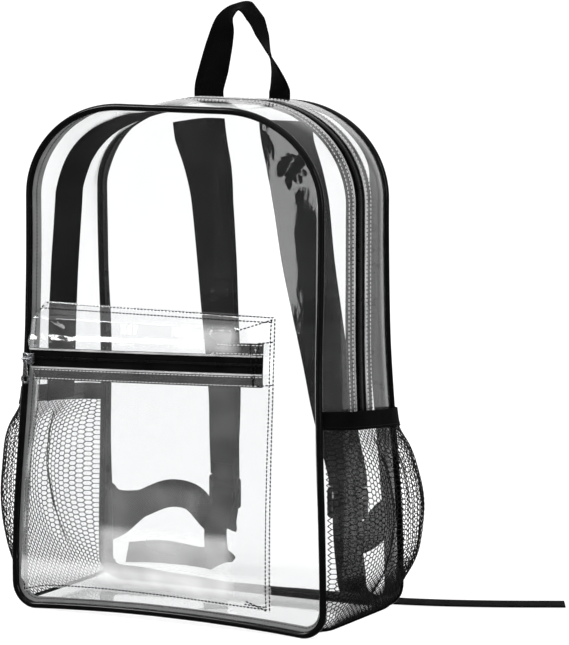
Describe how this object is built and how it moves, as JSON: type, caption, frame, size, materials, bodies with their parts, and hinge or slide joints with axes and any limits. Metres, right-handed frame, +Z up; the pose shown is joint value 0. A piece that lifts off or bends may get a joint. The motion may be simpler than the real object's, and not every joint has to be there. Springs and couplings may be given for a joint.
{
  "type": "clear backpack",
  "caption": "Clear plastic backpack with black piping, front zip pocket, mesh side pockets, grab handle and webbing shoulder straps, standing on its base.",
  "frame": {"origin": "middle of the flat bottom of the bag, on the floor", "axes": "+Z up, the front with the zip pocket faces -Y, +X is to the right for a viewer in front of the bag"},
  "size_m": [0.4541, 0.2676, 0.5111],
  "materials": {
    "clear_sheet": "clear flexible sheet, glossy",
    "black_trim": "black piping and zip teeth, satin",
    "black_cloth": "black woven tape and webbing",
    "black_mesh": "black open net",
    "black_plastic": "black moulded plastic",
    "silver_metal": "silver coloured zip slider and pull"
  },
  "bodies": {
    "bag": {"front_panel": "clear_sheet", "back_panel": "clear_sheet", "lower_wall": "clear_sheet", "zip_strip_front": "clear_sheet", "zip_strip_back": "clear_sheet", "pocket_upper_face": "clear_sheet", "pocket_lower_face": "clear_sheet", "front_piping": "black_trim", "back_piping": "black_trim", "main_zip_coil": "black_trim", "main_zip_slider": "black_trim", "pocket_zip_coil": "black_trim", "main_zip_tape": "black_cloth", "pocket_zip_tape": "black_cloth", "mesh_band_left": "black_cloth", "mesh_band_right": "black_cloth", "grab_handle": "black_cloth", "shoulder_strap_left": "black_cloth", "shoulder_strap_right": "black_cloth", "lower_webbing_left": "black_cloth", "lower_webbing_right": "black_cloth", "webbing_tail_left": "black_cloth", "webbing_tail_right": "black_cloth", "mesh_pocket_left": "black_mesh", "mesh_pocket_right": "black_mesh", "strap_buckle_left": "black_plastic", "strap_buckle_right": "black_plastic", "pocket_zip_slider": "silver_metal"},
    "pocket_pull": {"pocket_zip_pull": "silver_metal"}
  },
  "joints": [
    {"name": "pocket_pull_swing", "type": "hinge", "parent": "bag", "child": "pocket_pull", "pos_m": [-0.1227, -0.0916, 0.2162], "axis": [-1, 0, 0], "range_deg": [0, 150]}
  ]
}
